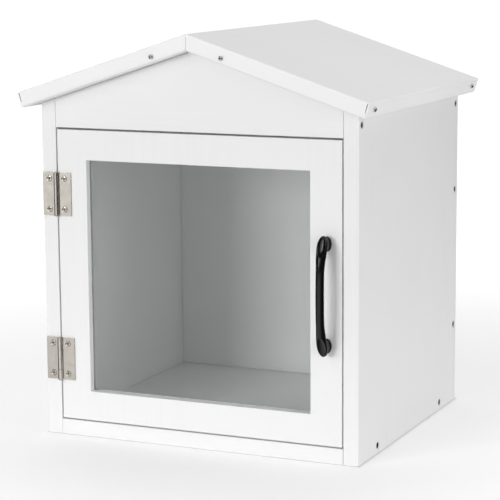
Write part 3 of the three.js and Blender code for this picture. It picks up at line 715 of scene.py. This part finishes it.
def cover_skin():
    """Outside of the cover. Across the roof a path of core points is followed with a
    normal angle f: the ridge bend, the slope, the eave fold and the eave flange. A
    point lies at core + FOLD * k * (sin f, cos f) in x and z. Along y, k is 1 over the
    roof and cos b round each end fold, where y moves out by FOLD * sin b. So the end
    folds, the eave folds and the round corners are all one grid."""
    half_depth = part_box("roof_cover")[1].y - FOLD
    ridge = FOLD * math.tan(ROOF_PITCH)
    eave = slope_length() - FOLD
    drops = FOLD + np.concatenate([[0, RIDGE_CUT_START], FLANGE_STATIONS * (FLANGE - FOLD)])
    flange = drops[1:]
    slope = ridge + SLOPE_STATIONS * (eave - ridge)
    arc = np.linspace(0, 1, ARC_STEPS + 1)
    bend_angle = ROOF_PITCH * arc[:-1]
    fold_angle = ROOF_PITCH + math.pi / 2 * arc[1:]

    # The right half of the path, and then both halves
    along = np.concatenate([np.full_like(bend_angle, ridge), slope,
                            np.full_like(fold_angle, eave), np.full_like(flange, eave)])
    drop = np.concatenate([np.full(len(along) - len(flange), FOLD), flange])
    angle = np.concatenate([bend_angle, np.full_like(slope, ROOF_PITCH), fold_angle,
                            np.full_like(flange, fold_angle[-1])])
    x, z = slope_place(along, drop)
    x = np.concatenate([-x[:0:-1], x])
    z = np.concatenate([z[:0:-1], z])
    angle = np.concatenate([-angle[:0:-1], angle])

    # The front fold, the roof between the folds and the rear fold
    turn = math.pi / 2 * arc[::-1]
    front = -half_depth - FOLD * np.sin(turn)
    inner = np.linspace(-half_depth, half_depth, DEPTH_STATIONS)[1:-1]
    y = np.concatenate([front, inner, -front[::-1]])
    k = np.concatenate([np.cos(turn), np.ones_like(inner), np.cos(turn[::-1])])[:, None]
    patches = [grid_patch(
        x + FOLD * k * np.sin(angle),
        np.repeat(y[:, None], len(x), axis=1),
        z + FOLD * k * np.cos(angle),
    )]

    # Front and rear flanges, mitred at the ridge
    down = drops[:, None]
    ridge_half = np.where(down > FOLD + RIDGE_CUT_START, RIDGE_SLIT / 2, 0)
    start = (ridge_half + down * math.sin(ROOF_PITCH)) / math.cos(ROOF_PITCH)
    flange_x, flange_z = slope_place(start + (eave - start) * SLOPE_STATIONS, down)
    for hand in (-1, 1):
        for end_way in (-1, 1):
            flange_y = np.full_like(flange_x, end_way * (half_depth + FOLD))
            points, quads = grid_patch(hand * flange_x, flange_y, flange_z)
            patches.append((points, quads if hand * end_way < 0 else quads[:, ::-1]))
    return patches


def corner_slit(hand, end_way):
    """A wedge through the flange beside a corner: two outlines of four points, one in
    front of the flange and one behind it, joined by quads."""
    middle = slope_length() - SLIT_INSET
    half = np.array([-SLIT_FOOT_WIDTH, SLIT_FOOT_WIDTH, SLIT_TOP_WIDTH, -SLIT_TOP_WIDTH]) / 2
    drop = np.array([SLIT_HEIGHT_SHARE, SLIT_HEIGHT_SHARE, 0, 0]) * FLANGE
    x, z = slope_place(middle + half, np.maximum(drop, FOLD))
    corners = len(x)
    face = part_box("roof_cover")[1].y
    y = end_way * (face + np.repeat([-1, 1], corners) * (SHEET + SCREW_GAP))
    outlines = np.stack([hand * np.tile(x, 2), y, np.tile(z, 2)], axis=-1)
    ends = np.array([[0, 1, 2, 3], [7, 6, 5, 4]])
    return outlines, np.concatenate([ends, grid_quads(2, corners, wrap=True)])


def mark_slit_edges(mesh):
    """Marks the walls of the slits: faces whose middle lies within the sheet's
    thickness and no further from a slit's middle line than half its greatest width."""
    x, y, z = vectors(mesh.polygons, "center").T
    rise = cad_high.z - z
    along = np.abs(x) * math.cos(ROOF_PITCH) + rise * math.sin(ROOF_PITCH)
    drop = rise * math.cos(ROOF_PITCH) - np.abs(x) * math.sin(ROOF_PITCH)
    beside = np.abs(along - slope_length() + SLIT_INSET)
    from_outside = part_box("roof_cover")[1].y - np.abs(y)
    in_sheet = np.abs(from_outside - SHEET / 2) < SHEET / 4
    in_flange = (drop > FOLD / 2) & (drop < FLANGE - FOLD)
    in_slit = beside < SLIT_TOP_WIDTH / 2 + 10 * WELD
    # The finish paints these walls near black: painted shade in the slits.
    mark(mesh, "slit_shade_and_cut_edge", "FACE", in_sheet & in_flange & in_slit)


def make_cover():
    """The skin, thickened, with its corner slits and its screw holes cut out."""
    made = new_object("folded_roof_cover", welded_mesh("folded_roof_cover", cover_skin()))
    top = max(made.data.polygons, key=lambda face: face.center.z)
    if top.normal.z < 0:
        made.data.flip_normals()
    thicken(made, SHEET)
    cutters = [corner_slit(hand, end_way) for hand in (-1, 1) for end_way in (-1, 1)]
    cutters += [screw_hole(node) for node in screws
                if "cover_screw" in node or "eave_screw" in node]
    combine(made, cutters, "DIFFERENCE")
    mark_slit_edges(made.data)
    smooth(made)
    return dress(made, cover_coat, "cabinet", "white_sheet", "roof_cover")


make_cover()


# Hinges

def leaf_skin():
    """Back of a hinge leaf as one strip: flat from its outer edge to the barrel and then
    curled round the pin. Along the strip a point is (-s, R) on the flat and
    (R cos a, R sin a) on the curl, and it is carried up z. Where the other leaf's
    knuckles go, the curl's quads are left out."""
    half = LEAF_HEIGHT / 2
    pitch = LEAF_HEIGHT / KNUCKLES
    corner = LEAF_CORNER_STATIONS * LEAF_CORNER
    feet = np.arange(KNUCKLES) * pitch - half
    levels = np.concatenate([[-half, half], feet + KNUCKLE_GAP / 2,
                             feet + pitch - KNUCKLE_GAP / 2, corner - half, half - corner])
    levels = np.unique(np.round(levels, 8))
    from_end = np.minimum(half - np.abs(levels), LEAF_CORNER)
    rounding = np.sqrt(LEAF_CORNER ** 2 - (LEAF_CORNER - from_end) ** 2)
    outer_edge = (LEAF_WIDTH - LEAF_CORNER + rounding)[:, None]

    radius = BARREL_RADIUS
    share = np.linspace(0, 1, LEAF_STATIONS)
    flat_x = -(outer_edge * (1 - share) + (radius + KNUCKLE_GAP) * share)
    end_angle = math.pi - math.asin((radius - LEAF_THICKNESS - CURL_GAP) / radius)
    curl = np.linspace(math.pi / 2, end_angle - 2 * math.pi, CURL_STATIONS)
    each_level = np.ones((len(levels), 1))
    x = np.hstack([flat_x, each_level * (radius * np.cos(curl))])
    y = np.hstack([np.full_like(flat_x, radius), each_level * (radius * np.sin(curl))])
    z = np.repeat(levels[:, None], x.shape[1], axis=1)
    points, quads = grid_patch(x, y, z)

    row, column = np.divmod(np.arange(len(quads)), x.shape[1] - 1)
    middle = (levels[row] + levels[row + 1]) / 2 + half
    knuckle = np.floor(middle / pitch)
    in_knuckle = np.abs(middle - (knuckle + 0.5) * pitch) < pitch / 2 - KNUCKLE_GAP / 2
    own = (knuckle % 2 == 0) & in_knuckle
    return points, quads[(column < LEAF_STATIONS - 1) | own]


def make_leaf(level, leaf, axis):
    """The frame's leaf is the strip itself, and the door's leaf is the strip turned half
    round about y, so that its knuckles fill the gaps between the other's."""
    name = f"{level}_{leaf}"
    turn = np.eye(3) if leaf == "frame_leaf" else np.diag([-1, 1, -1])
    points, quads = leaf_skin()
    strip = [(points @ turn + np.array(axis), quads)]
    made = new_object(name + "_rolled", welded_mesh(name, strip, outward=False))
    flat = max(made.data.polygons, key=lambda face: face.area)
    if flat.normal.y < 0:
        made.data.flip_normals()
    thicken(made, LEAF_THICKNESS)
    combine(made, [screw_hole(node) for node in screws if node.startswith(name)], "DIFFERENCE")
    smooth(made)
    body = frame["nodes"][name]["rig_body"]
    return dress(made, nickel, body, "satin_nickel", name)


def make_pin(level, axis):
    """A lathe: a straight pin between two shallow domed heads, whose profile at angle a
    is (head * sin a, shoulder + PIN_HEAD * cos a)."""
    head = BARREL_RADIUS * PIN_HEAD_SHARE
    shoulder = LEAF_HEIGHT / 2 + KNUCKLE_GAP / 2
    arc = np.linspace(0, math.pi / 2, ARC_STEPS + 1)
    low = np.stack([head * np.sin(arc), -shoulder - PIN_HEAD * np.cos(arc)], axis=1)
    pin = [[PIN_RADIUS, -shoulder], [PIN_RADIUS, shoulder]]
    points, quads = lathe(np.concatenate([low, pin, low[::-1] * [1, -1]]), SCREW_SIDES)
    name = f"{level}_hinge_pin"
    made = new_object(name + "_domed", welded_mesh(name, [(points + np.array(axis), quads)]))
    smooth(made)
    return dress(made, nickel, "cabinet", "satin_nickel", name)


for level in ("upper", "lower"):
    pin_low, pin_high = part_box(f"{level}_hinge_pin")
    pin_axis = (pin_low + pin_high) / 2
    make_leaf(level, "frame_leaf", pin_axis)
    make_leaf(level, "door_leaf", pin_axis)
    make_pin(level, pin_axis)


# Bow handle

def soft_step(value, low, high):
    """Zero up to low and one from high, with s * s * (3 - 2 s) at the share s between."""
    share = np.clip((value - low) / (high - low), 0, 1)
    return share * share * (3 - 2 * share)


def bow_depth(z, tip):
    """How far the bar's middle line stands off the door at a height: the bar's reach,
    less the drop to the tips times |z / tip| ** BOW_SQUARENESS."""
    reach = BOW_PROJECTION - BAR_THICKNESS / 2
    return reach - (reach - TIP_REACH) * np.abs(z / tip) ** BOW_SQUARENESS


def bow_outward(z, tip):
    """The outward direction square to the bar's middle line, as its y and z: minus one
    and the middle line's slope, divided by their length."""
    drop = BOW_PROJECTION - BAR_THICKNESS / 2 - TIP_REACH
    slope = np.sign(z) * BOW_SQUARENESS * np.abs(z / tip) ** (BOW_SQUARENESS - 1) * drop / tip
    size = np.hypot(1, slope)
    return -1 / size, slope / size


def rounded_end(width, length, from_tip):
    """Half a width that closes as an oval: sqrt(1 - (1 - share) ** 2) of it."""
    share = np.minimum(1, from_tip / length)
    return width / 2 * np.sqrt(1 - (1 - share) ** 2)


def bow_bar(tip):
    """An oval section carried along the bar's middle line. At height z = tip * cos a its
    point at turn t is wide * sin t across and thick * cos t outwards. Wide closes as
    an oval at the tip, is widest half a lobe in and narrows to the bar by a soft step."""
    z = tip * np.cos(np.linspace(0, math.pi, BOW_STEPS + 1))
    depth = bow_depth(z, tip)
    run = np.concatenate([[0], np.cumsum(np.hypot(np.diff(z), np.diff(depth)))])
    from_tip = np.minimum(run, run[-1] - run)
    waist = soft_step(from_tip, LOBE_LENGTH / 2, LOBE_LENGTH / 2 + BAR_TAPER)
    lobe = rounded_end(LOBE_WIDTH, LOBE_LENGTH / 2, from_tip)
    wide = lobe - waist * (LOBE_WIDTH - BAR_WIDTH) / 2
    thick = rounded_end(BAR_THICKNESS, LOBE_TIP_ROUND, from_tip)
    out_y, out_z = bow_outward(z, tip)
    turn = full_turn(BOW_SIDES)
    lift = thick[:, None] * np.cos(turn)
    return grid_patch(
        wide[:, None] * np.sin(turn),
        -depth[:, None] + lift * out_y[:, None],
        z[:, None] + lift * out_z[:, None],
        wrap=True,
    )


def bow_foot(hole_z, tip):
    """Ovals stacked off the door: (width / 2 - inset) * cos t across and
    (height / 2 - inset) * sin t up. The base has a round edge, the post stands on it
    with a round foot of its own, and the last oval bends to the bar's middle line."""
    arc = np.linspace(0, math.pi / 2, ARC_STEPS + 1)
    edge_inset = FOOT_EDGE * (1 - np.cos(arc))
    edge_depth = FOOT_BASE - FOOT_EDGE * (1 - np.sin(arc))
    round_inset = FOOT_STEP - FOOT_EDGE * (1 - np.sin(arc))
    round_depth = FOOT_BASE + FOOT_EDGE * (1 - np.cos(arc))
    inset = np.concatenate([[FOOT_WIDTH / 2, 0], edge_inset, round_inset,
                            [FOOT_STEP, FOOT_WIDTH / 2]])
    depth = np.concatenate([[0, 0], edge_depth, round_depth, [0, 0]])
    half_height = np.maximum(FOOT_HEIGHT / 2 - inset, 0)
    half_height[[0, -1]] = 0
    turn = full_turn(BOW_SIDES)
    x = np.outer(FOOT_WIDTH / 2 - inset, np.cos(turn))
    y = np.repeat(-depth[:, None], BOW_SIDES, axis=1)
    z = hole_z + np.outer(half_height, np.sin(turn))
    y[-2:] = -bow_depth(z[-2:], tip)
    return grid_patch(x, y, z, wrap=True)


def lobe_scoop(z, tip):
    """An egg-shaped cutter: the unit ball's points times SCOOP_RADII, turned to the bar's
    outward direction and set so that its lowest point is SCOOP_DEPTH deep."""
    arc = np.linspace(0, math.pi, SCOOP_SIDES + 1)
    points, quads = lathe(np.stack([np.sin(arc), np.cos(arc)], axis=1), SCOOP_SIDES)
    out_y, out_z = bow_outward(z, tip)
    across, deep, along = SCOOP_RADII
    away = BAR_THICKNESS / 2 - SCOOP_DEPTH + deep
    outward = points[:, 2] * deep + away
    beside = points[:, 1] * along
    x = points[:, 0] * across
    y = -bow_depth(z, tip) + outward * out_y - beside * out_z
    return np.stack([x, y, z + outward * out_z + beside * out_y], axis=-1), quads


def make_handle():
    """The bar and its two feet joined, less the scoops and the screw holes."""
    nodes = ("handle_top_screw", "handle_low_screw")
    top, low = [screw_place(node, *screws[node][:2]) for node in nodes]
    half_centres = (top[2] - low[2]) / 2
    tip = half_centres + BOW_OVERHANG
    place = np.array([top[0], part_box("pull_handle")[1].y, (top[2] + low[2]) / 2])

    def moved(patch):
        return patch[0] + place, patch[1]

    made = new_object("bow_handle", welded_mesh("bow_handle", [moved(bow_bar(tip))]))
    combine(made, [moved(bow_foot(way * half_centres, tip)) for way in (1, -1)], "UNION")
    cutters = [moved(lobe_scoop(way * (tip - SCOOP_FROM_TIP), tip)) for way in (1, -1)]
    combine(made, cutters + [screw_hole(node) for node in nodes], "DIFFERENCE")
    smooth(made)
    return dress(made, enamel, "door", "black_gloss", "pull_handle")


make_handle()


# Floor: its size, its tone in light near the box and far off, its glow there where it is
# seen, the distances between which it changes, the light that it gives, its roughness,
# and the width of the painted shadow at the box's foot
FLOOR_REACH = 20
FLOOR_TONE, FLOOR_FAR_TONE = 0.74, 0.15
LIFT_NEAR, LIFT_FAR = 0.35, 1.0
FLOOR_START, FLOOR_END = 0.3, 1.1
FLOOR_BOUNCE = 0.22
FLOOR_ROUGHNESS = 0.9
CONTACT = 0.004

# The light from all round, and the glows in reflections: a direction, the cosine of the
# angle at the edge, and the strength
AMBIENT = 0.36
UNLIT = 0.05
FLOOR_GLOW = ((-0.174, -0.985, 0), 0.64, 1.05)
LAMP_GLOW = ((-0.34, -0.84, 0.423), 0.9, 2.6)
CEILING_GLOW = ((0, 0, 1), 0.82, 0.9)
BACKDROP_GLOW = ((0.126, 0.958, 0.259), 0.4, 1.0)
STRIP_GLOW = ((0.243, 0.908, 0.342), 0.961, 1.8)
SIDE_GLOW = ((0.612, -0.354, 0.707), 0.88, 3.0)
WHITE = (1, 1, 1, 1)


def mirrored_glow(tree, way, *glows):
    """How bright a direction is in reflections: the strongest of some soft spots, each
    of which fades by the cosine of the angle from its own direction."""
    unit = add(tree, "ShaderNodeVectorMath", {0: way}, operation="NORMALIZE").outputs[0]
    strongest = UNLIT
    for centre, edge, strength in glows:
        cosine = add(tree, "ShaderNodeVectorMath", {0: unit, 1: centre}, operation="DOT_PRODUCT")
        facts = {"Value": cosine.outputs["Value"], "From Min": edge, "From Max": 1.0,
                 "To Min": UNLIT, "To Max": strength}
        soft = add(tree, "ShaderNodeMapRange", facts, interpolation_type="SMOOTHSTEP")
        both = {0: soft.outputs["Result"], 1: strongest}
        strongest = add(tree, "ShaderNodeMath", both, operation="MAXIMUM").outputs[0]
    return strongest


def by_ray(tree, unseen, mirrored, seen):
    """One strength for lighting, one in reflections and one where it is seen, straight
    or through glass."""
    ray = add(tree, "ShaderNodeLightPath").outputs
    kinds = {0: ray["Is Camera Ray"], 1: ray["Is Transmission Ray"]}
    in_sight = add(tree, "ShaderNodeMath", kinds, operation="MAXIMUM").outputs[0]
    out_of_sight = by_share(tree, ray["Is Glossy Ray"], unseen, mirrored)
    return by_share(tree, in_sight, out_of_sight, seen)


def clear_of_contact_shadow(tree, place):
    """Zero where the box stands, rising to one at CONTACT from its foot: the lift is
    that share, so the glow is taken away at the foot, which paints a thin shadow where the box
    meets the floor."""
    panel_low, panel_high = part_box("left_side_panel")
    half = (-panel_low.x, panel_high.y, 0)
    size = add(tree, "ShaderNodeVectorMath", {0: place}, operation="ABSOLUTE").outputs[0]
    beyond = add(tree, "ShaderNodeVectorMath", {0: size, 1: half}, operation="SUBTRACT").outputs[0]
    parts = add(tree, "ShaderNodeSeparateXYZ", {0: beyond}).outputs
    away = add(tree, "ShaderNodeMath", {0: parts["X"], 1: parts["Y"]}, operation="MAXIMUM")
    return between(tree, away.outputs[0], 0, 1, from_low=0, from_high=CONTACT)


def make_floor():
    """A pale floor that shows soft shadows near the box and turns to plain white with
    the distance from it, where it is seen. At the box's foot its glow is taken away, which paints
    a thin shadow there."""
    corners = np.array([[-1, -1, 0], [1, -1, 0], [1, 1, 0], [-1, 1, 0]]) * FLOOR_REACH
    plane = [(corners, np.array([[0, 1, 2, 3]]))]
    floor = new_object("floor", welded_mesh("floor", plane, outward=False))
    finish, tree, shader = new_finish("pale_floor")
    place = add(tree, "ShaderNodeTexCoord").outputs["Object"]
    away = add(tree, "ShaderNodeVectorMath", {0: place}, operation="LENGTH").outputs["Value"]

    def by_distance(near, far):
        return between(tree, away, near, far, FLOOR_START, FLOOR_END)

    is_mirrored = add(tree, "ShaderNodeLightPath").outputs["Is Glossy Ray"]
    tone = by_share(tree, is_mirrored, by_distance(FLOOR_TONE, FLOOR_FAR_TONE), 0)
    tree.links.new(tone, shader.inputs["Base Color"])
    shader.inputs["Roughness"].default_value = FLOOR_ROUGHNESS
    shader.inputs["Specular IOR Level"].default_value = 0
    shader.inputs["Emission Color"].default_value = WHITE
    glow = mirrored_glow(tree, place, FLOOR_GLOW, BACKDROP_GLOW)
    # Taking the glow away at the box's foot paints a thin shadow there.
    facts = {0: by_distance(LIFT_NEAR, LIFT_FAR), 1: clear_of_contact_shadow(tree, place)}
    lift = add(tree, "ShaderNodeMath", facts, operation="MULTIPLY").outputs[0]
    strength = by_ray(tree, by_distance(FLOOR_BOUNCE, 0), glow, lift)
    tree.links.new(strength, shader.inputs["Emission Strength"])
    floor.data.materials.append(finish)


def make_world():
    """White where it is seen, soft glows in reflections, and an even light."""
    world = bpy.data.worlds.new("studio")
    bpy.context.scene.world = world
    world.use_nodes = True
    tree = world.node_tree
    way = add(tree, "ShaderNodeTexCoord").outputs["Generated"]
    glow = mirrored_glow(tree, way, LAMP_GLOW, CEILING_GLOW, BACKDROP_GLOW, STRIP_GLOW,
                         SIDE_GLOW)
    background = tree.nodes["Background"]
    background.inputs["Color"].default_value = WHITE
    tree.links.new(by_ray(tree, AMBIENT, glow, 1.0), background.inputs["Strength"])


def soft_box(name, azimuth, elevation, distance, size, power, mirrored=True):
    """A soft light that looks at the middle of the box from azimuth a and elevation e,
    in degrees: it lies along (sin a cos e, -cos a cos e, sin e). Size is its width and
    height. Without mirrored, it lights but shows in no reflection."""
    middle = (cad_low + cad_high) / 2
    a, e = math.radians(azimuth), math.radians(elevation)
    out = Vector((math.sin(a) * math.cos(e), -math.cos(a) * math.cos(e), math.sin(e)))
    lamp = bpy.data.lights.new(name, "AREA")
    lamp.shape = "RECTANGLE"
    lamp.size, lamp.size_y = size
    lamp.energy = power
    light = new_object(name, lamp)
    light.location = middle + out * distance
    light.rotation_euler = out.to_track_quat("Z", "Y").to_euler()
    light.visible_camera = False
    light.visible_glossy = mirrored


def make_camera():
    """A level camera turned by the yaw, tipped down and then rolled about its line of
    sight: right is level * cos roll + upright * sin roll, and up is square to it."""
    yaw, down, roll = CAMERA_YAW, CAMERA_DOWN, CAMERA_ROLL
    forward = Vector((-math.sin(yaw) * math.cos(down), math.cos(yaw) * math.cos(down),
                      -math.sin(down)))
    level = Vector((math.cos(yaw), math.sin(yaw), 0))
    upright = level.cross(forward)
    right = level * math.cos(roll) + upright * math.sin(roll)
    up = upright * math.cos(roll) - level * math.sin(roll)
    data = bpy.data.cameras.new("camera")
    data.lens = CAMERA_LENS
    data.sensor_width = SENSOR
    camera = new_object("camera", data)
    turn = Matrix((right, up, -forward)).transposed()
    camera.matrix_world = Matrix.Translation(CAMERA_PLACE) @ turn.to_4x4()
    bpy.context.scene.camera = camera


make_floor()
make_world()
soft_box("key_light", azimuth=-15, elevation=7, distance=2.6, size=(0.7, 0.7), power=22.3,
         mirrored=False)
soft_box("left_light", azimuth=-28, elevation=20, distance=2.4, size=(0.16, 1.4), power=9)
soft_box("right_light", azimuth=72, elevation=5, distance=1.5, size=(0.9, 0.8), power=8.7,
         mirrored=False)
soft_box("top_light", azimuth=204, elevation=73, distance=2.6, size=(1.6, 1.6), power=16)
soft_box("back_light", azimuth=225, elevation=3, distance=2.6, size=(1.4, 0.6), power=12,
         mirrored=False)
make_camera()
bpy.context.scene.view_settings.view_transform = "Standard"
